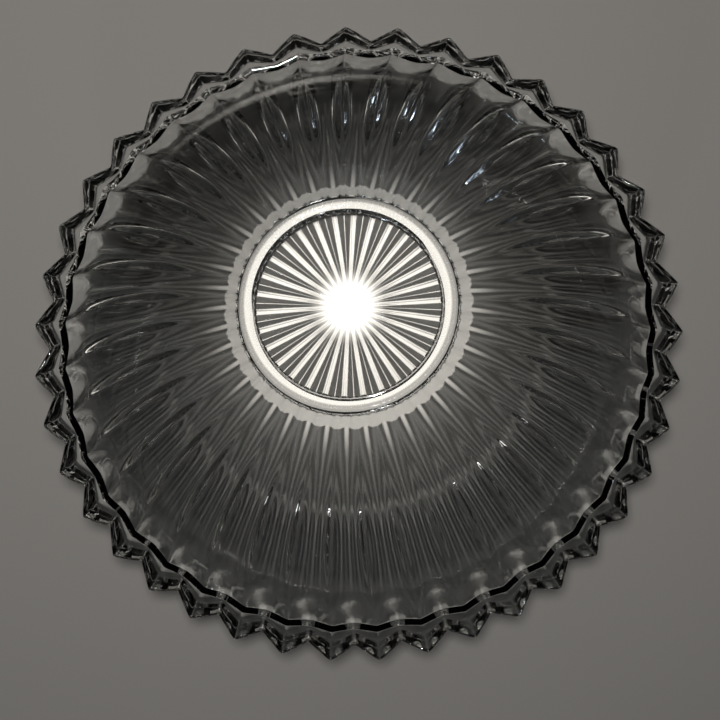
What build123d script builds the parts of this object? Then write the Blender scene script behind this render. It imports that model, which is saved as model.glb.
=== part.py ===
"""Pressed-glass bowl: a fluted spherical wall on a foot ring, with a sawtooth rim.

The bowl is one piece of glass, pressed in one stroke between a patterned mould
(the outside) and a plunger (the inside).  Millimetres, +Z up.  The origin is the
centre of the foot's rest face.  Tooth tips lie on the +X, -X, +Y and -Y axes.
"""
from build123d import *
from math import acos, asin, cos, degrees, radians, sin, sqrt
import os

# ---- overall sizes
RIM_RADIUS = 125.0          # axis to the blunted tooth tips
HEIGHT = 95.0               # rest face to the tooth tips
RIB_COUNT = 40              # ridges between the flutes, one tooth on each
RAY_COUNT = 30              # grooves of the star under the floor

# ---- wall: outside and inside are turned about one point on the axis
SPHERE_CENTRE_Z = 117.0
CREST_SPHERE = 124.0        # outside, along the ridges
LOWER_WALL = 9.2            # glass under a ridge, from the foot up to THINNING_START
UPPER_WALL = 5.2            # glass under a ridge, from THINNING_END to the lip
THINNING_START = 42.0       # degrees from straight down, about the sphere's centre
THINNING_END = 66.0
RELIEF_AT_FOOT = 1.2        # ridge to flute bottom where the wall leaves the foot
RELIEF_AT_MIDDLE = 4.0      # the same, at RELIEF_PEAK
RELIEF_AT_NECK = 2.0        # the same, under the teeth
RELIEF_PEAK = 50.0          # degrees from straight down
WALL_SECTIONS = 9           # horizontal sections that the wall is lofted through

# ---- teeth: the flared, pleated band above the neck
NECK_Z = 81.0
SHOULDER_Z = 83.8           # the short, quick flare over the neck ends here
SHOULDER_TIP = 121.5
SHOULDER_VALLEY = 118.0
TIP_POINT_RADIUS = 125.4    # where a tooth's two flanks would meet
TIP_FLANK_RADIUS = 120.3    # valley between two teeth, at the height of the tips
RIM_THICKNESS = 1.2         # radial thickness of the glass along the rim
NOTCH_DEPTH = 3.0           # how far the rim dips between two teeth

# ---- lip: the inside above a narrow scalloped ledge
LIP_Z = 84.0
LEDGE_WIDTH = 2.7           # at a tooth
LIP_WAVE = 1.6              # how much narrower the ledge is between two teeth

# ---- foot and floor
FOOT_RADIUS = 50.9          # outer side of the foot ring
FOOT_HEIGHT = 4.6           # where the ribbed wall starts
REST_INNER = 46.0           # flat rest face, inner edge
REST_OUTER = 49.3           # flat rest face, outer edge
FOOT_BEVEL = 1.0            # height of the outer bevel under the foot
STAR_RADIUS = 42.0          # edge of the star disc
STAR_Z = 4.6                # underside of the star disc
FLOOR_Z = 9.0               # inside of the floor
FLOOR_RADIUS = 38.0         # flat part of the floor
FLOOR_BLEND = 24.0          # degrees from straight down, where the floor's curve meets the wall

# ---- star
GROOVE_START = 3.0          # where a groove begins, from the axis
GROOVE_WIDTH = 7.4          # at the edge of the disc
GROOVE_DEPTH = 0.9          # at the edge of the disc
GROOVE_FLAT = 0.9           # width of the groove's flat bottom, at the edge of the disc

PITCH = 360.0 / RIB_COUNT
CAVITY_STEPS = 10           # pieces of the inside's curve
CLEARANCE = 20.0            # how far a cutter runs past what it cuts
OVERLAP = 1.0               # how far joined bodies and the grooves' cutters run into each other


def polar(radius, angle, z):
    """Point at a radius and an angle in degrees about the axis."""
    return Vector(radius * cos(radians(angle)), radius * sin(radians(angle)), z)


def sphere_radius(sphere, z):
    """Distance from the axis to a wall sphere at height z."""
    return sqrt(sphere ** 2 - (SPHERE_CENTRE_Z - z) ** 2)


def smooth_step(x):
    """From 0 to 1 with level ends."""
    x = min(max(x, 0.0), 1.0)
    return x * x * (3 - 2 * x)


def relief(angle):
    """Depth of the flutes at an angle in degrees from straight down about the sphere's centre."""
    if angle < RELIEF_PEAK:
        low = degrees(acos((SPHERE_CENTRE_Z - FOOT_HEIGHT) / CREST_SPHERE))
        end, share = RELIEF_AT_FOOT, (angle - low) / (RELIEF_PEAK - low)
    else:
        high = degrees(acos((SPHERE_CENTRE_Z - NECK_Z) / CREST_SPHERE))
        end, share = RELIEF_AT_NECK, (high - angle) / (high - RELIEF_PEAK)
    return end + (RELIEF_AT_MIDDLE - end) * smooth_step(share)


def fluted_section(crest, valley, z):
    """Closed wire of concave flutes between sharp ridges; each flute is one arc in two halves."""
    half = radians(PITCH / 2)
    chord = crest * sin(half)
    rise = crest * cos(half) - valley
    arc_radius = (chord ** 2 + rise ** 2) / (2 * rise)
    quarter = asin(chord / arc_radius) / 2
    along = valley + arc_radius * (1 - cos(quarter))
    across = arc_radius * sin(quarter)
    mid = sqrt(along ** 2 + across ** 2)
    mid_angle = degrees(asin(across / mid))
    edges = []
    for rib in range(RIB_COUNT):
        at = rib * PITCH
        before, after = at - PITCH / 2, at + PITCH / 2
        ridge = polar(crest, at, z)
        low, high = polar(valley, before, z), polar(valley, after, z)
        edges.append(Edge.make_three_point_arc(low, polar(mid, before + mid_angle, z), ridge))
        edges.append(Edge.make_three_point_arc(ridge, polar(mid, after - mid_angle, z), high))
    return Wire(edges)


def zigzag_section(tip, valley, z):
    """Closed wire of straight-sided teeth."""
    points = []
    for rib in range(RIB_COUNT):
        points.append(polar(valley, (rib - 0.5) * PITCH, z))
        points.append(polar(tip, rib * PITCH, z))
    return Wire.make_polygon(points, close=True)


def fluted_wall():
    """Solid spherical cup with flutes, from the foot to the neck."""
    low = degrees(acos((SPHERE_CENTRE_Z - FOOT_HEIGHT) / CREST_SPHERE))
    high = degrees(acos((SPHERE_CENTRE_Z - NECK_Z) / CREST_SPHERE))
    sections = []
    for step in range(WALL_SECTIONS):
        angle = low + (high - low) * step / (WALL_SECTIONS - 1)
        z = SPHERE_CENTRE_Z - CREST_SPHERE * cos(radians(angle))
        crest = sphere_radius(CREST_SPHERE, z)
        sections.append(fluted_section(crest, crest - relief(angle), z))
    return Solid.make_loft(sections)


def tooth_band():
    """Solid pleated band: flutes at the neck, a quick flare, then upright sharp teeth."""
    crest = sphere_radius(CREST_SPHERE, NECK_Z)
    neck = fluted_section(crest, crest - RELIEF_AT_NECK, NECK_Z)
    shoulder = zigzag_section(SHOULDER_TIP, SHOULDER_VALLEY, SHOULDER_Z)
    rim = zigzag_section(TIP_POINT_RADIUS, TIP_FLANK_RADIUS, HEIGHT)
    return Solid.make_loft([neck, shoulder], ruled=True).fuse(Solid.make_loft([shoulder, rim], ruled=True))


def tip_blunting():
    """Everything outside the tips' true radius."""
    outer = Solid.make_cylinder(RIM_RADIUS + CLEARANCE, 2 * HEIGHT)
    return outer - Solid.make_cylinder(RIM_RADIUS, 2 * HEIGHT)


def rim_notches():
    """One wedge over each valley, so that the rim dips between two teeth."""
    half = RIM_RADIUS * sin(radians(PITCH / 2))
    rise = NOTCH_DEPTH * CLEARANCE / half
    profile = Wire.make_polygon(
        [
            Vector(RIM_RADIUS - CLEARANCE, 0, HEIGHT - NOTCH_DEPTH),
            Vector(RIM_RADIUS - CLEARANCE, half, HEIGHT),
            Vector(RIM_RADIUS - CLEARANCE, half, HEIGHT + rise),
            Vector(RIM_RADIUS - CLEARANCE, -half, HEIGHT + rise),
            Vector(RIM_RADIUS - CLEARANCE, -half, HEIGHT),
        ],
        close=True,
    )
    wedge = Solid.extrude(Face(profile), Vector(2 * CLEARANCE, 0, 0))
    return [wedge.rotate(Axis.Z, (rib + 0.5) * PITCH) for rib in range(RIB_COUNT)]


def inner_point(angle):
    """Point of the inside, in the XZ plane, at an angle in degrees from straight down."""
    share = (angle - THINNING_START) / (THINNING_END - THINNING_START)
    share = (smooth_step(share) + min(max(share, 0.0), 1.0)) / 2
    reach = CREST_SPHERE - LOWER_WALL - (UPPER_WALL - LOWER_WALL) * share
    return Vector(reach * sin(radians(angle)), 0, SPHERE_CENTRE_Z - reach * cos(radians(angle)))


def smooth_cavity():
    """The inside up to the lip: a turned curve that runs out of the flat floor."""
    upper = CREST_SPHERE - UPPER_WALL
    lip_angle = degrees(acos((SPHERE_CENTRE_Z - LIP_Z) / upper))
    points = [Vector(FLOOR_RADIUS, 0, FLOOR_Z)]
    for step in range(CAVITY_STEPS + 1):
        points.append(inner_point(FLOOR_BLEND + (lip_angle - FLOOR_BLEND) * step / CAVITY_STEPS))
    out, top = Vector(1, 0, 0), Vector(cos(radians(lip_angle)), 0, sin(radians(lip_angle)))
    lip = points[-1]
    outline = Wire(
        [
            Edge.make_line((0, 0, FLOOR_Z), points[0]),
            Edge.make_spline(points, tangents=[out, top]),
            Edge.make_line(lip, (0, 0, lip.Z)),
            Edge.make_line((0, 0, lip.Z), (0, 0, FLOOR_Z)),
        ]
    )
    return Solid.revolve(Face(outline), 360, Axis.Z)


def pleated_cavity():
    """The inside of the lip, which follows the teeth from the ledge to the rim."""
    seat = sphere_radius(CREST_SPHERE - UPPER_WALL, LIP_Z) + LEDGE_WIDTH
    seat_valley = seat - LIP_WAVE
    slope_tip = (TIP_POINT_RADIUS - RIM_THICKNESS - seat) / (HEIGHT - LIP_Z)
    slope_valley = (TIP_FLANK_RADIUS - RIM_THICKNESS - seat_valley) / (HEIGHT - LIP_Z)
    over = HEIGHT - LIP_Z + CLEARANCE
    low = zigzag_section(seat, seat_valley, LIP_Z)
    high = zigzag_section(seat + slope_tip * over, seat_valley + slope_valley * over, LIP_Z + over)
    return Solid.make_loft([low, high], ruled=True)


def foot_and_floor():
    """Foot ring and floor: a turned solid with the star's recess under it."""
    top = FOOT_HEIGHT + OVERLAP
    outline = Wire.make_polygon(
        [
            Vector(0, 0, STAR_Z),
            Vector(STAR_RADIUS, 0, STAR_Z),
            Vector(REST_INNER, 0, 0),
            Vector(REST_OUTER, 0, 0),
            Vector(FOOT_RADIUS, 0, FOOT_BEVEL),
            Vector(FOOT_RADIUS, 0, top),
            Vector(0, 0, top),
        ],
        close=True,
    )
    return Solid.revolve(Face(outline), 360, Axis.Z)


def star_grooves():
    """Flat-bottomed grooves that widen and deepen from the centre to the edge of the disc."""
    reach = (STAR_RADIUS - GROOVE_START + OVERLAP) / (STAR_RADIUS - GROOVE_START)
    end = GROOVE_START + (STAR_RADIUS - GROOVE_START) * reach
    side, flat, top = GROOVE_WIDTH / 2 * reach, GROOVE_FLAT / 2 * reach, STAR_Z + GROOVE_DEPTH * reach
    start = Vector(GROOVE_START, 0, STAR_Z)
    base = [Vector(end, side, STAR_Z), Vector(end, flat, top), Vector(end, -flat, top), Vector(end, -side, STAR_Z)]
    faces = [Face(Wire.make_polygon(base, close=True))]
    for index in range(len(base)):
        faces.append(Face(Wire.make_polygon([start, base[index - 1], base[index]], close=True)))
    groove = Solid(Shell(faces))
    return [groove.rotate(Axis.Z, ray * 360.0 / RAY_COUNT) for ray in range(RAY_COUNT)]


def bowl():
    """The whole glass."""
    glass = fluted_wall().fuse(tooth_band())
    glass = glass.fuse(foot_and_floor())
    glass = glass.cut(smooth_cavity(), pleated_cavity())
    glass = glass.cut(tip_blunting())
    glass = glass.cut(*rim_notches())
    return glass.cut(*star_grooves())


os.makedirs("parts", exist_ok=True)
glass = bowl()
export_step(glass, "parts/bowl.step")
print("bowl", glass.is_valid, round(glass.volume / 1000), "cm3", glass.bounding_box())
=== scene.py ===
from math import acos, cos, pi, radians, sin, sqrt

import bpy
from bpy.props import FloatProperty, FloatVectorProperty, IntProperty, PointerProperty
from mathutils import Matrix, Vector


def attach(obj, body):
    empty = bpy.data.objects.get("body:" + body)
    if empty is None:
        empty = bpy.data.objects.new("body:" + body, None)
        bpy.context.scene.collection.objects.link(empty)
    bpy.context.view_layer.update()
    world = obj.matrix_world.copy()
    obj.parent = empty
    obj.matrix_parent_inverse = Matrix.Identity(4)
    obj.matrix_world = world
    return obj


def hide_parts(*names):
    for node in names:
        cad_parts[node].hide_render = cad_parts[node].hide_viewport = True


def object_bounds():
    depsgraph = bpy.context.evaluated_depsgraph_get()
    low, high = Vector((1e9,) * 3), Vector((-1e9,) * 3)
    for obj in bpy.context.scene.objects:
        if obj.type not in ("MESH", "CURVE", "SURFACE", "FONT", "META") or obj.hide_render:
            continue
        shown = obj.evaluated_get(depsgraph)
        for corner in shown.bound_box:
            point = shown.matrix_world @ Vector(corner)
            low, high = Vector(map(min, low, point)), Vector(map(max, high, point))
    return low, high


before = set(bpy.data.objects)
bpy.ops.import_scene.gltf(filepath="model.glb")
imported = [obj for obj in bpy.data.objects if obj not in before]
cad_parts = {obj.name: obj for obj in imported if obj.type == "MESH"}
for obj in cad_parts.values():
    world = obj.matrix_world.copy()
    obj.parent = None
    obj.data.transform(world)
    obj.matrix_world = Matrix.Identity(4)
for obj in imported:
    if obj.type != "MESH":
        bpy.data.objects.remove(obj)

bl_info = {
    "name": "Pressed Glass Bowl",
    "version": (1, 0, 0),
    "blender": (4, 5, 0),
    "location": "3D View > Sidebar > Glass Bowl",
    "description": "Builds a ribbed pressed-glass bowl with a sawtooth rim and a star under its floor",
    "category": "Add Mesh",
}

CAD_LOW, CAD_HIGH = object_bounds()


# ---------------------------------------------------------------- settings


class BowlSizes(bpy.types.PropertyGroup):
    """Sizes of the glass."""

    rim_radius: FloatProperty(
        name="Rim Radius",
        description="Axis to the tooth tips",
        default=CAD_HIGH.x,
        unit="LENGTH",
        precision=4,
    )
    height: FloatProperty(
        name="Height",
        description="Rest face to the tooth tips",
        default=CAD_HIGH.z,
        unit="LENGTH",
        precision=4,
    )
    rib_count: IntProperty(
        name="Ribs",
        description="Ribs on the wall, one tooth on each",
        default=40,
        min=3,
    )
    ray_count: IntProperty(
        name="Star Rays",
        description="Grooves of the star under the floor",
        default=30,
        min=3,
    )
    sphere_centre: FloatProperty(
        name="Sphere Centre",
        description="Height of the wall's centre",
        default=0.117,
        unit="LENGTH",
        precision=4,
    )
    outer_sphere: FloatProperty(
        name="Ridge Sphere",
        description="Radius over the ridges",
        default=0.124,
        unit="LENGTH",
        precision=4,
    )
    rim_wall: FloatProperty(
        name="Upper Wall",
        description="Glass under a ridge in the upper wall",
        default=0.0052,
        unit="LENGTH",
        precision=4,
    )
    foot_wall: FloatProperty(
        name="Lower Wall",
        description="Glass under a ridge beside the foot",
        default=0.0092,
        unit="LENGTH",
        precision=4,
    )
    foot_relief: FloatProperty(
        name="Relief at Foot",
        description="Ridge to flute bottom at the foot",
        default=0.0012,
        unit="LENGTH",
        precision=5,
    )
    middle_relief: FloatProperty(
        name="Relief at Middle",
        description="Ridge to flute bottom at mid height",
        default=0.0040,
        unit="LENGTH",
        precision=5,
    )
    neck_relief: FloatProperty(
        name="Relief at Neck",
        description="Ridge to flute bottom at the neck",
        default=0.0020,
        unit="LENGTH",
        precision=5,
    )
    neck_height: FloatProperty(
        name="Neck Height",
        description="Where the teeth begin to flare",
        default=0.081,
        unit="LENGTH",
        precision=4,
    )
    tooth_depth: FloatProperty(
        name="Tooth Depth",
        description="Tip to valley in plan",
        default=0.0053,
        unit="LENGTH",
        precision=5,
    )
    lip_height: FloatProperty(
        name="Lip Height",
        description="Where the inside flares into the lip",
        default=0.084,
        unit="LENGTH",
        precision=4,
    )
    lip_wave: FloatProperty(
        name="Lip Wave",
        description="How far the lip's inner edge is scalloped",
        default=0.0016,
        unit="LENGTH",
        precision=5,
    )
    ledge_width: FloatProperty(
        name="Ledge Width",
        description="Step between the bowl's inside and its lip",
        default=0.0027,
        unit="LENGTH",
        precision=5,
    )
    notch_depth: FloatProperty(
        name="Notch Depth",
        description="How far the rim dips between teeth",
        default=0.003,
        unit="LENGTH",
        precision=5,
    )
    rim_thickness: FloatProperty(
        name="Rim Thickness",
        description="Rounding along the rim",
        default=0.0012,
        unit="LENGTH",
        precision=5,
    )
    floor_height: FloatProperty(
        name="Floor Height",
        description="Inside of the floor",
        default=0.009,
        unit="LENGTH",
        precision=4,
    )
    star_radius: FloatProperty(
        name="Star Radius",
        description="Edge of the star disc",
        default=0.042,
        unit="LENGTH",
        precision=4,
    )
    star_height: FloatProperty(
        name="Star Height",
        description="Underside of the star disc",
        default=0.0046,
        unit="LENGTH",
        precision=5,
    )
    groove_depth: FloatProperty(
        name="Groove Depth",
        description="Star groove at the disc's edge",
        default=0.0009,
        unit="LENGTH",
        precision=5,
    )
    foot_radius: FloatProperty(
        name="Foot Radius",
        description="Outer side of the foot ring",
        default=0.0509,
        unit="LENGTH",
        precision=4,
    )
    segments: IntProperty(name="Segments", description="Steps round the bowl", default=960, min=120)


class BowlFinish(bpy.types.PropertyGroup):
    """Colour and surface of the glass and of the stage."""

    glass_tint: FloatVectorProperty(
        name="Glass Tint",
        description="Colour that light keeps in the glass",
        subtype="COLOR",
        default=(0.97, 0.985, 0.975),
        min=0,
        max=1,
    )
    floor_colour: FloatVectorProperty(
        name="Floor Colour",
        description="Table under the bowl",
        subtype="COLOR",
        default=(0.50, 0.47, 0.43),
        min=0,
        max=1,
    )
    ripple: FloatProperty(
        name="Ripple",
        description="Strength of the pressing marks",
        default=0.2,
        min=0,
        max=1,
    )
    foot_wear: FloatProperty(
        name="Foot Wear",
        description="Roughness of the scuffs under the foot",
        default=0.35,
        min=0,
        max=1,
    )


# ---------------------------------------------------------------- the profile

THICK_BELOW = radians(42)  # angles from straight down about the sphere's centre
THIN_ABOVE = radians(66)
DEEPEST_FLUTES = radians(50)
WALL_START = 0.0046  # height of the wall's lowest ring, over the foot
RIM_INSET = 0.0001  # keeps the rounded rim just inside the tooth tips
UNDERSIDE_TOP = 0.0068  # a height between the star and the inside of the floor


class Station:
    """One ring of the glass: where its crest and its valley are, and how the two are joined."""

    def __init__(self, crest, valley=None, sharp=0.0, star=0.0, crowd=0.0):
        self.crest = crest
        self.valley = valley or crest
        self.sharp = sharp
        self.star = star
        self.crowd = crowd


def spread(start, end, count):
    """Numbers from start to end, both included."""
    return [start + (end - start) * step / (count - 1) for step in range(count)]


def ease(x):
    """Smooth step from 0 to 1."""
    x = min(max(x, 0.0), 1.0)
    return x * x * (3 - 2 * x)


def on_sphere(size, radius, z):
    """Distance from the axis to a wall sphere of a radius, at height z."""
    return sqrt(radius ** 2 - (size.sphere_centre - z) ** 2)


def underside(size):
    """Star disc, from the axis outward."""
    flat = 0.003
    rings = [Station((0.0, size.star_height))]
    for radius in spread(flat, size.star_radius, 4):
        rings.append(Station((radius, size.star_height), star=(radius - flat) / (size.star_radius - flat)))
    return rings


def foot_ring(size):
    """Inner slope, rounded rest face and outer side of the foot."""
    outline = [
        (size.star_radius + 0.0003, size.star_height - 0.0001),
        (size.star_radius + 0.0006, size.star_height - 0.0004),
        (size.star_radius + 0.0035, 0.0004),
        (size.star_radius + 0.0038, 0.0001),
        (size.star_radius + 0.0044, 0.0),
        (size.foot_radius - 0.0018, 0.0),
        (size.foot_radius - 0.0009, 0.0003),
        (size.foot_radius - 0.0002, 0.0010),
        (size.foot_radius, 0.0020),
        (size.foot_radius, 0.0036),
    ]
    return [Station(point) for point in outline]


def inner_point(size, angle):
    """Point of the smooth inside at an angle from straight down about the sphere's centre."""
    share = (angle - THICK_BELOW) / (THIN_ABOVE - THICK_BELOW)
    share = 0.5 * (ease(share) + min(max(share, 0.0), 1.0))
    glass = size.foot_wall + (size.rim_wall - size.foot_wall) * share
    reach = size.outer_sphere - glass
    return reach * sin(angle), size.sphere_centre - reach * cos(angle)


def wall(size):
    """Ribbed sphere from the foot to the neck; the ribs are keenest at mid height."""
    low = acos((size.sphere_centre - WALL_START) / size.outer_sphere)
    high = acos((size.sphere_centre - size.neck_height) / size.outer_sphere)
    rings = []
    for angle in spread(low, high, 29):
        z = size.sphere_centre - size.outer_sphere * cos(angle)
        radius = size.outer_sphere * sin(angle)
        if angle < DEEPEST_FLUTES:
            share = ease((angle - low) / (DEEPEST_FLUTES - low))
            relief = size.foot_relief + (size.middle_relief - size.foot_relief) * share
        else:
            share = 1 - ease((angle - DEEPEST_FLUTES) / (high - DEEPEST_FLUTES))
            relief = size.neck_relief + (size.middle_relief - size.neck_relief) * share
        rings.append(Station((radius, z), (radius - relief, z), crowd=1.0))
    return rings


def crown(outer, top, width, out_tilt, in_tilt, count):
    """Points over a gently rounded top, from its outer edge inward; the tilts are those of its two edges."""
    bow = width / (sin(out_tilt) + sin(in_tilt))
    centre = outer - bow * sin(out_tilt)
    tilts = spread(-out_tilt, in_tilt, count)
    return [(centre - bow * sin(tilt), top - bow * (1 - cos(tilt))) for tilt in tilts]


def rim_crown(size):
    """Rounding along the rim, at a tooth tip."""
    outer = size.rim_radius - RIM_INSET
    return crown(
        outer, size.height, size.rim_thickness, out_tilt=radians(66), in_tilt=radians(44), count=9
    )


def teeth(size):
    """Flared band from the neck to the outer edge of the rim, then over its crown."""
    neck = on_sphere(size, size.outer_sphere, size.neck_height)
    over = rim_crown(size)
    top = over[0][1] - 0.0003
    rings = []
    for part in spread(0.0, 1.0, 8)[1:]:
        # a quick step outward over the neck, then a straight flare
        flare = 0.35 * ease(part * 5) + 0.65 * part
        crest = (neck + (size.rim_radius - neck) * flare, size.neck_height + (top - size.neck_height) * part)
        valley_top = size.rim_radius - size.tooth_depth
        valley = (
            neck - size.neck_relief + (valley_top - neck + size.neck_relief) * flare,
            size.neck_height + (top - size.notch_depth - size.neck_height) * part,
        )
        rings.append(Station(crest, valley, sharp=ease(part * 3), crowd=1.0))
    for radius, z in over:
        valley = (radius - size.tooth_depth, z - size.notch_depth)
        rings.append(Station((radius, z), valley, sharp=1.0, crowd=1.0))
    return rings


def inside(size):
    """Rim's inner edge, flared lip, scalloped ledge under it, smooth bowl and flat floor."""
    rings = []
    lip_angle = acos((size.sphere_centre - size.lip_height) / size.outer_sphere)
    start, lip_z = inner_point(size, lip_angle)
    tip, top = rim_crown(size)[-1]
    tip -= 0.0002
    top -= 0.0003
    dip = tip - size.tooth_depth
    dip_top = top - size.notch_depth
    seat = start + size.ledge_width
    tilt = radians(18)
    ledge = crown(seat, lip_z + 0.0002, size.ledge_width, out_tilt=tilt, in_tilt=tilt, count=7)
    for part in spread(0.0, 1.0, 6):
        crest = (tip + (seat - tip) * part, top + (lip_z + 0.0003 - top) * part)
        foot = seat - size.lip_wave
        valley = (dip + (foot - dip) * part, dip_top + (lip_z + 0.0003 - dip_top) * part)
        rings.append(Station(crest, valley, sharp=1.0 - 0.6 * part, crowd=1.0))
    for radius, z in ledge:
        rings.append(Station((radius, z), (radius - size.lip_wave, z), sharp=0.4, crowd=1.0))
    fade = radians(10)
    edge = start
    for angle in spread(lip_angle - radians(0.6), radians(20), 25):
        radius, z = inner_point(size, angle)
        if z < size.floor_height + 0.0010:
            break
        share = ease(1 - (lip_angle - angle) / fade)
        rings.append(Station((radius, z), (radius - size.lip_wave * share, z), sharp=0.4 * share, crowd=1.0))
        edge = radius
    # rounded corner between the wall and the floor
    for inset, lift in ((0.0010, 0.0007), (0.0018, 0.0004), (0.0026, 0.0002), (0.0036, 0.0)):
        rings.append(Station((edge - inset, size.floor_height + lift)))
    for radius in spread(edge - 0.008, 0.0, 3):
        rings.append(Station((radius, size.floor_height)))
    return rings


def profile_mesh(size):
    """Rings of the glass as the points of a mesh, with what each ring needs as attributes."""
    rings = underside(size) + foot_ring(size) + wall(size) + teeth(size) + inside(size)
    mesh = bpy.data.meshes.new("glass_profile")
    mesh.from_pydata([(ring.crest[0], 0.0, ring.crest[1]) for ring in rings], [], [])
    valley = mesh.attributes.new("valley", "FLOAT_VECTOR", "POINT")
    for index, ring in enumerate(rings):
        valley.data[index].vector = (ring.valley[0], 0.0, ring.valley[1])
    for name in ("sharp", "star", "crowd"):
        layer = mesh.attributes.new(name, "FLOAT", "POINT")
        for index, ring in enumerate(rings):
            layer.data[index].value = getattr(ring, name)
    return mesh


# ---------------------------------------------------------------- node helpers


def socket_in(tree, name, kind, default=None):
    """Adds a named input to a node group."""
    socket = tree.interface.new_socket(name, in_out="INPUT", socket_type="NodeSocket" + kind)
    if default is not None:
        socket.default_value = default
    return socket


def feed(tree, target, value):
    """Puts a link or a plain value on an input."""
    if isinstance(value, bpy.types.NodeSocket):
        tree.links.new(value, target)
    else:
        target.default_value = value


def math(tree, operation, *values):
    """A Math node; returns its output."""
    node = tree.nodes.new("ShaderNodeMath")
    node.operation = operation
    for target, value in zip(node.inputs, values):
        feed(tree, target, value)
    return node.outputs[0]


def mix(tree, factor, low, high):
    """low where factor is 0, high where it is 1."""
    difference = math(tree, "SUBTRACT", high, low)
    return math(tree, "MULTIPLY_ADD", difference, factor, low)


# ---------------------------------------------------------------- the turned glass


def ring_value(tree, source, index, name, kind="FLOAT"):
    """Reads a named value of the ring that a point belongs to."""
    if name == "position":
        field = tree.nodes.new("GeometryNodeInputPosition").outputs[0]
    else:
        named = tree.nodes.new("GeometryNodeInputNamedAttribute")
        named.data_type = kind
        named.inputs["Name"].default_value = name
        field = named.outputs["Attribute"]
    sample = tree.nodes.new("GeometryNodeSampleIndex")
    sample.data_type = kind
    sample.domain = "POINT"
    tree.links.new(source, sample.inputs["Geometry"])
    tree.links.new(field, sample.inputs["Value"])
    tree.links.new(index, sample.inputs["Index"])
    return sample.outputs["Value"]


def split(tree, vector):
    """X and Z of a vector."""
    node = tree.nodes.new("ShaderNodeSeparateXYZ")
    tree.links.new(vector, node.inputs[0])
    return node.outputs["X"], node.outputs["Z"]


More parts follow.
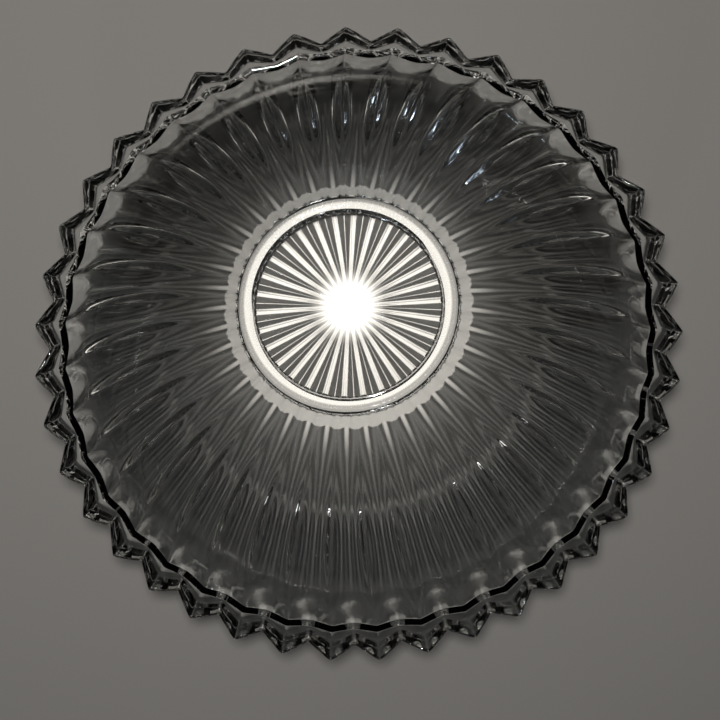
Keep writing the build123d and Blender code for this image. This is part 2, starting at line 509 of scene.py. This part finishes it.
def turned_glass_tree():
    """Turns the profile into ribs, teeth and star rays round the axis."""
    tree = bpy.data.node_groups.new("turned_glass", "GeometryNodeTree")
    socket_in(tree, "Profile", "Geometry")
    socket_in(tree, "Segments", "Int", 960)
    socket_in(tree, "Ribs", "Int", 40)
    socket_in(tree, "Star Rays", "Int", 30)
    socket_in(tree, "Groove Depth", "Float", 0.0015)
    socket_in(tree, "Groove Share", "Float", 0.84)
    socket_in(tree, "Crowding", "Float", 0.6)
    socket_in(tree, "Tooth Keenness", "Float", 0.985)
    socket_in(tree, "Ridge Rounding", "Float", 0.09)
    socket_in(tree, "Material", "Material")
    tree.interface.new_socket("Glass", in_out="OUTPUT", socket_type="NodeSocketGeometry")
    start = tree.nodes.new("NodeGroupInput").outputs
    profile = start["Profile"]

    size = tree.nodes.new("GeometryNodeAttributeDomainSize")
    tree.links.new(profile, size.inputs[0])
    rings = size.outputs["Point Count"]
    grid = tree.nodes.new("GeometryNodeMeshGrid")
    feed(tree, grid.inputs["Vertices X"], math(tree, "ADD", start["Segments"], 1.0))
    feed(tree, grid.inputs["Vertices Y"], rings)

    index = tree.nodes.new("GeometryNodeInputIndex").outputs[0]
    around = math(tree, "FLOOR", math(tree, "DIVIDE", math(tree, "ADD", index, 0.5), rings))
    ring = math(tree, "ROUND", math(tree, "SUBTRACT", index, math(tree, "MULTIPLY", around, rings)))
    turn = math(tree, "DIVIDE", around, start["Segments"])

    crest_r, crest_z = split(tree, ring_value(tree, profile, ring, "position", "FLOAT_VECTOR"))
    valley_r, valley_z = split(tree, ring_value(tree, profile, ring, "valley", "FLOAT_VECTOR"))
    sharp = ring_value(tree, profile, ring, "sharp")
    star = ring_value(tree, profile, ring, "star")
    crowd = math(tree, "MULTIPLY", ring_value(tree, profile, ring, "crowd"), start["Crowding"])

    rib_turn = math(tree, "MULTIPLY", turn, start["Ribs"])
    rib = math(tree, "ROUND", rib_turn)
    offset = math(tree, "SUBTRACT", rib_turn, rib)
    wave = math(tree, "SINE", math(tree, "MULTIPLY", offset, 4 * pi))
    pull = math(tree, "MULTIPLY", math(tree, "MULTIPLY", wave, crowd), 1 / (4 * pi))
    offset = math(tree, "SUBTRACT", offset, pull)
    angle = math(tree, "MULTIPLY", math(tree, "ADD", rib, offset), 2 * pi)
    angle = math(tree, "DIVIDE", angle, start["Ribs"])

    away = math(tree, "MULTIPLY", math(tree, "ABSOLUTE", offset), 2.0)
    rounding = start["Ridge Rounding"]
    rounding_square = math(tree, "MULTIPLY", rounding, rounding)
    soft = math(tree, "SQRT", math(tree, "MULTIPLY_ADD", away, away, rounding_square))
    soft = math(tree, "SUBTRACT", soft, rounding)
    away_soft = math(tree, "DIVIDE", soft, math(tree, "SUBTRACT", 1.0, rounding))
    rest = math(tree, "SUBTRACT", 1.0, away_soft)
    bow = math(tree, "SUBTRACT", 1.0, math(tree, "MULTIPLY", rest, rest))
    swing = math(tree, "SINE", math(tree, "MULTIPLY", math(tree, "SUBTRACT", away, 0.5), pi))
    keen = start["Tooth Keenness"]
    reach = math(tree, "MULTIPLY", math(tree, "ARCSINE", keen), 2.0)
    tooth = math(tree, "ARCSINE", math(tree, "MULTIPLY", swing, keen))
    tooth = math(tree, "ADD", math(tree, "DIVIDE", tooth, reach), 0.5)
    shape = mix(tree, sharp, bow, tooth)
    radius = mix(tree, shape, crest_r, valley_r)
    height = mix(tree, shape, crest_z, valley_z)

    ray_turn = math(tree, "MULTIPLY", turn, start["Star Rays"])
    ray = math(tree, "ABSOLUTE", math(tree, "SUBTRACT", ray_turn, math(tree, "ROUND", ray_turn)))
    groove = math(tree, "DIVIDE", math(tree, "MULTIPLY", ray, 2.0), start["Groove Share"])
    groove = math(tree, "SUBTRACT", 1.0, groove)
    # cut off at 1, which gives the groove a flat bottom
    groove = math(tree, "MAXIMUM", math(tree, "MULTIPLY", groove, 1.14), 0.0)
    groove = math(tree, "MINIMUM", groove, 1.0)
    lift = math(tree, "MULTIPLY", math(tree, "MULTIPLY", groove, star), start["Groove Depth"])
    height = math(tree, "ADD", height, lift)

    place = tree.nodes.new("ShaderNodeCombineXYZ")
    feed(tree, place.inputs["X"], math(tree, "MULTIPLY", radius, math(tree, "COSINE", angle)))
    feed(tree, place.inputs["Y"], math(tree, "MULTIPLY", radius, math(tree, "SINE", angle)))
    feed(tree, place.inputs["Z"], height)
    moved = tree.nodes.new("GeometryNodeSetPosition")
    tree.links.new(grid.outputs["Mesh"], moved.inputs["Geometry"])
    tree.links.new(place.outputs[0], moved.inputs["Position"])

    welded = tree.nodes.new("GeometryNodeMergeByDistance")
    tree.links.new(moved.outputs[0], welded.inputs["Geometry"])
    welded.inputs["Distance"].default_value = 1e-6
    real = tree.nodes.new("GeometryNodeRealizeInstances")
    tree.links.new(welded.outputs[0], real.inputs[0])
    finish = tree.nodes.new("GeometryNodeSetMaterial")
    tree.links.new(real.outputs[0], finish.inputs["Geometry"])
    tree.links.new(start["Material"], finish.inputs["Material"])
    tree.links.new(finish.outputs[0], tree.nodes.new("NodeGroupOutput").inputs[0])
    return tree


def run_tree(name, source, tree, values):
    """Runs a node tree once on a mesh and returns an object with the plain result."""
    carrier = bpy.data.objects.new("carrier", source)
    bpy.context.scene.collection.objects.link(carrier)
    modifier = carrier.modifiers.new("tree", "NODES")
    modifier.node_group = tree
    for item in tree.interface.items_tree:
        if item.item_type == "SOCKET" and item.in_out == "INPUT" and item.name in values:
            modifier[item.identifier] = values[item.name]
    depsgraph = bpy.context.evaluated_depsgraph_get()
    mesh = bpy.data.meshes.new_from_object(carrier.evaluated_get(depsgraph))
    bpy.data.objects.remove(carrier)
    mesh.name = name
    piece = bpy.data.objects.new(name, mesh)
    bpy.context.scene.collection.objects.link(piece)
    return piece


# ---------------------------------------------------------------- materials


def ramp(tree, value, low, high):
    """Smooth step from 0 at low to 1 at high."""
    node = tree.nodes.new("ShaderNodeMapRange")
    node.interpolation_type = "SMOOTHSTEP"
    feed(tree, node.inputs["Value"], value)
    feed(tree, node.inputs["From Min"], low)
    feed(tree, node.inputs["From Max"], high)
    return node.outputs[0]


def noise(tree, place, scale):
    """Soft noise at a scale."""
    node = tree.nodes.new("ShaderNodeTexNoise")
    node.inputs["Scale"].default_value = scale
    node.inputs["Detail"].default_value = 2.0
    tree.links.new(place, node.inputs["Vector"])
    return node.outputs["Fac"]


def off_line(tree, turn, count, shift=0.0):
    """Turns to the nearest of count even lines round the axis, as a share of their pitch."""
    wave = math(tree, "ADD", math(tree, "MULTIPLY", turn, count), shift)
    return math(tree, "ABSOLUTE", math(tree, "SUBTRACT", wave, math(tree, "ROUND", wave)))


def star_light(tree, size, radius, turn):
    """Painted light cast on the table under the star: thick rays under its lands, thin ones under its
    grooves, a hot centre.
    """
    # widths are shares of a ray's pitch, and strengths are multiples of the lamp's own light
    land = off_line(tree, turn, size.ray_count, 0.5)
    groove = off_line(tree, turn, size.ray_count)
    star = math(tree, "MULTIPLY_ADD", ramp(tree, land, 0.066, 0.036), 7.0, 0.75)
    star = math(tree, "MULTIPLY_ADD", ramp(tree, groove, 0.04, 0.02), 7.0, star)
    return math(tree, "MULTIPLY_ADD", ramp(tree, radius, 0.018, 0.002), 14.0, star)


def foot_light(tree, size, radius):
    """Painted light and shade cast on the table under the foot: bright under its rest face, dark under its
    inner slope.
    """
    outer = ramp(tree, radius, size.foot_radius - 0.0019, size.foot_radius - 0.0029)
    inner = ramp(tree, radius, size.star_radius + 0.0032, size.star_radius + 0.0040)
    rest = math(tree, "MULTIPLY_ADD", outer, 4.5, 3.2)
    return math(tree, "MULTIPLY_ADD", inner, rest, 0.25)


def wall_light(tree, size, radius, below, turn):
    """Painted light and shade cast on the table through the wall: soft lines along ridges and flutes, painted
    shadow patches above, tongues of light by the foot.
    """
    rib = off_line(tree, turn, size.rib_count)
    bow = math(tree, "MULTIPLY", math(tree, "MULTIPLY", rib, rib), 4.0)
    slope = math(tree, "ARCTAN2", radius, math(tree, "MULTIPLY", below, -1.0))
    above_low = math(tree, "SUBTRACT", slope, math(tree, "MULTIPLY_ADD", bow, radians(6), radians(43)))
    below_high = math(tree, "SUBTRACT", math(tree, "MULTIPLY_ADD", bow, radians(-4), radians(63)), slope)
    # dark: painted shadow patches on the table under the upper wall; outline and core: painted bright lines
    # along their lower edge and down their middle
    dark = math(tree, "MULTIPLY", ramp(tree, above_low, 0.0, radians(1.2)), ramp(tree, rib, 0.42, 0.33))
    dark = math(tree, "MULTIPLY", dark, ramp(tree, below_high, 0.0, radians(4)))
    outline = ramp(tree, above_low, radians(-1.6), 0.0)
    outline = math(tree, "MULTIPLY", outline, ramp(tree, above_low, radians(0.8), 0.0))
    core = math(tree, "MULTIPLY", ramp(tree, rib, 0.06, 0.02), dark)
    tongue = math(tree, "MULTIPLY", ramp(tree, rib, 0.30, 0.40), ramp(tree, slope, radians(34), radians(26)))
    light = math(tree, "MULTIPLY_ADD", ramp(tree, rib, 0.24, 0.0), 0.26, 0.19)
    light = math(tree, "MULTIPLY_ADD", ramp(tree, rib, 0.30, 0.5), 0.45, light)
    near_foot = ramp(tree, slope, radians(46), radians(26))
    light = math(tree, "MULTIPLY", light, math(tree, "MULTIPLY_ADD", near_foot, 1.2, 1.0))
    light = math(tree, "MULTIPLY", light, math(tree, "MULTIPLY_ADD", dark, -0.94, 1.0))
    light = math(tree, "MULTIPLY_ADD", tongue, 2.8, light)
    light = math(tree, "MULTIPLY_ADD", outline, 0.9, light)
    return math(tree, "MULTIPLY_ADD", core, 0.8, light)


def painted_table_light(tree, size, place):
    """Painted light and shade cast on the table: how much lamp light each place on the glass lets through,
    drawn after the caustics and shadows of the pressed pattern.
    """
    x, y, z = place
    radius = math(tree, "SQRT", math(tree, "MULTIPLY_ADD", x, x, math(tree, "MULTIPLY", y, y)))
    turn = math(tree, "DIVIDE", math(tree, "ARCTAN2", y, x), 2 * pi)
    below = math(tree, "SUBTRACT", z, size.sphere_centre)
    below_square = math(tree, "MULTIPLY", below, below)
    reach = math(tree, "SQRT", math(tree, "MULTIPLY_ADD", radius, radius, below_square))
    deeper_than_flutes = size.outer_sphere - size.middle_relief - 0.0002
    on_outside = math(tree, "GREATER_THAN", reach, deeper_than_flutes)
    on_star = math(tree, "LESS_THAN", radius, size.star_radius + 0.0002)
    on_underside = math(tree, "LESS_THAN", z, UNDERSIDE_TOP)
    light = mix(tree, on_outside, 0.95, wall_light(tree, size, radius, below, turn))
    foot = mix(tree, on_star, foot_light(tree, size, radius), star_light(tree, size, radius, turn))
    return mix(tree, on_underside, light, foot)


def clear_glass(size, look):
    """Clear soda-lime glass with faint pressing ripples and a foot scuffed by tables."""
    material = bpy.data.materials.new("clear_pressed_glass")
    material.use_nodes = True
    tree = material.node_tree
    shader = tree.nodes["Principled BSDF"]
    shader.inputs["Base Color"].default_value = (*look.glass_tint, 1.0)
    shader.inputs["Transmission Weight"].default_value = 1.0
    shader.inputs["IOR"].default_value = 1.54

    place = tree.nodes.new("ShaderNodeTexCoord").outputs["Object"]
    split_place = tree.nodes.new("ShaderNodeSeparateXYZ")
    tree.links.new(place, split_place.inputs[0])
    ripple = noise(tree, place, 55.0)
    bump = tree.nodes.new("ShaderNodeBump")
    bump.inputs["Strength"].default_value = look.ripple
    bump.inputs["Distance"].default_value = 0.0004
    tree.links.new(ripple, bump.inputs["Height"])
    tree.links.new(bump.outputs[0], shader.inputs["Normal"])
    scuffs = ramp(tree, noise(tree, place, 900.0), 0.48, 0.66)
    at_rest_face = ramp(tree, split_place.outputs["Z"], 0.0005, 0.0001)
    wear = math(tree, "MULTIPLY", math(tree, "MULTIPLY", scuffs, at_rest_face), look.foot_wear)
    tree.links.new(wear, shader.inputs["Roughness"])

    # Rays from lamps and from matt surfaces go straight through the glass, darkened towards grazing angles
    # and tinted by a painted pattern of caustic light and shadow that falls on the table.
    facing = tree.nodes.new("ShaderNodeLayerWeight")
    facing.inputs["Blend"].default_value = 0.5
    passing = math(tree, "POWER", math(tree, "SUBTRACT", 1.0, facing.outputs["Facing"]), 1.6)
    clear = tree.nodes.new("ShaderNodeBsdfTransparent")
    painted_light_and_shade = painted_table_light(tree, size, split_place.outputs)
    tree.links.new(math(tree, "MULTIPLY", passing, painted_light_and_shade), clear.inputs["Color"])
    path = tree.nodes.new("ShaderNodeLightPath")
    soft_ray = math(tree, "MAXIMUM", path.outputs["Is Shadow Ray"], path.outputs["Is Diffuse Ray"])
    chooser = tree.nodes.new("ShaderNodeMixShader")
    tree.links.new(soft_ray, chooser.inputs[0])
    tree.links.new(shader.outputs[0], chooser.inputs[1])
    tree.links.new(clear.outputs[0], chooser.inputs[2])
    tree.links.new(chooser.outputs[0], tree.nodes["Material Output"].inputs["Surface"])
    return material


def floor_finish(look):
    """Plain pale matt table."""
    material = bpy.data.materials.new("plain_floor")
    material.use_nodes = True
    tree = material.node_tree
    shader = tree.nodes["Principled BSDF"]
    shader.inputs["Base Color"].default_value = (*look.floor_colour, 1.0)
    shader.inputs["Roughness"].default_value = 0.8
    return material


# ---------------------------------------------------------------- operators


class GLASSBOWL_OT_bowl(bpy.types.Operator):
    """Build the bowl's glass"""

    bl_idname = "glassbowl.bowl"
    bl_label = "Bowl"

    def execute(self, context):
        size = context.scene.bowl_sizes
        look = context.scene.bowl_finish
        piece = run_tree(
            "pressed_glass_bowl",
            profile_mesh(size),
            turned_glass_tree(),
            {
                "Segments": size.segments,
                "Ribs": size.rib_count,
                "Star Rays": size.ray_count,
                "Groove Depth": size.groove_depth,
                "Material": clear_glass(size, look),
            },
        )
        piece.data.shade_smooth()
        piece.data.set_sharp_from_angle(angle=radians(24))
        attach(piece, "root")
        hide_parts("bowl")
        return {"FINISHED"}


def area_light(name, place, target, width, power, colour=(1.0, 1.0, 1.0)):
    """Soft round light that faces its target."""
    data = bpy.data.lights.new(name, "AREA")
    data.shape = "DISK"
    data.size = width
    data.energy = power
    data.color = colour
    light = bpy.data.objects.new(name, data)
    light.location = place
    light.rotation_mode = "QUATERNION"
    light.rotation_quaternion = (Vector(target) - Vector(place)).to_track_quat("-Z", "Y")
    light.visible_camera = False
    bpy.context.scene.collection.objects.link(light)
    return light


class GLASSBOWL_OT_stage(bpy.types.Operator):
    """Build the floor, the lights and the camera"""

    bl_idname = "glassbowl.stage"
    bl_label = "Stage"

    def execute(self, context):
        size = context.scene.bowl_sizes
        look = context.scene.bowl_finish
        bpy.ops.mesh.primitive_plane_add(size=6.0, location=(0, 0, -0.0001))
        floor = context.object
        floor.name = "floor"
        floor.data.materials.append(floor_finish(look))

        world = bpy.data.worlds.new("dim_room")
        context.scene.world = world
        world.use_nodes = True
        tree = world.node_tree
        direction = tree.nodes.new("ShaderNodeSeparateXYZ")
        tree.links.new(tree.nodes.new("ShaderNodeTexCoord").outputs["Generated"], direction.inputs[0])
        low = ramp(tree, direction.outputs["Z"], 0.34, 0.04)
        backdrop = tree.nodes["Background"]
        backdrop.inputs["Color"].default_value = (1.0, 0.98, 0.95, 1)
        tree.links.new(math(tree, "MULTIPLY_ADD", low, 0.07, 0.010), backdrop.inputs["Strength"])

        up_azimuth = radians(69)
        lean_azimuth = up_azimuth + radians(16.5)
        distance = 4.48 * size.rim_radius
        aside = 0.259 * distance
        eye = Vector((aside * cos(lean_azimuth), aside * sin(lean_azimuth), size.height + distance))
        camera_data = bpy.data.cameras.new("camera")
        camera_data.sensor_width = 36.0
        camera_data.lens = 75.0
        camera_data.shift_x = -0.005
        camera_data.shift_y = -0.2
        camera = bpy.data.objects.new("camera", camera_data)
        context.scene.collection.objects.link(camera)
        context.scene.camera = camera
        # the optical axis passes above the rim's centre by the shift
        rim = Vector((0, 0, size.height))
        up = Vector((cos(up_azimuth), sin(up_azimuth), 0))
        aim = rim - up * camera_data.shift_y * camera_data.sensor_width / camera_data.lens * distance
        forward = (aim - eye).normalized()
        right = forward.cross(up).normalized()
        top = right.cross(forward).normalized()
        turn = Matrix((right, top, -forward)).transposed()
        camera.rotation_mode = "QUATERNION"
        camera.rotation_quaternion = turn.to_quaternion()
        camera.location = eye
        camera_data.clip_end = 20.0

        # a small bare lamp beside the camera, and a dim bluish window on the other side
        lamp = Vector((0.18 * cos(lean_azimuth), 0.18 * sin(lean_azimuth), 0.70))
        area_light("lamp", lamp, target=(0, 0, 0), width=0.055, power=1.9)
        side = lean_azimuth + radians(150)
        window = Vector((cos(side), sin(side), 0.9)) * 1.1
        bluish = (0.72, 0.85, 1.0)
        area_light("window", window, target=(0, 0, 0.08), width=0.16, power=0.6, colour=bluish)
        context.scene.view_settings.view_transform = "Standard"
        return {"FINISHED"}


class GLASSBOWL_PT_panel(bpy.types.Panel):
    """Sizes, finish and build buttons"""

    bl_label = "Glass Bowl"
    bl_space_type = "VIEW_3D"
    bl_region_type = "UI"
    bl_category = "Glass Bowl"

    def draw(self, context):
        for group in (context.scene.bowl_sizes, context.scene.bowl_finish):
            for name in group.__annotations__:
                self.layout.prop(group, name)
        self.layout.operator("glassbowl.bowl")
        self.layout.operator("glassbowl.stage")


CLASSES = (BowlSizes, BowlFinish, GLASSBOWL_OT_bowl, GLASSBOWL_OT_stage, GLASSBOWL_PT_panel)


def register():
    for cls in CLASSES:
        bpy.utils.register_class(cls)
    bpy.types.Scene.bowl_sizes = PointerProperty(type=BowlSizes)
    bpy.types.Scene.bowl_finish = PointerProperty(type=BowlFinish)


def unregister():
    del bpy.types.Scene.bowl_finish
    del bpy.types.Scene.bowl_sizes
    for cls in reversed(CLASSES):
        bpy.utils.unregister_class(cls)


def main():
    register()
    bpy.ops.glassbowl.bowl()
    bpy.ops.glassbowl.stage()


if __name__ == "__main__":
    main()
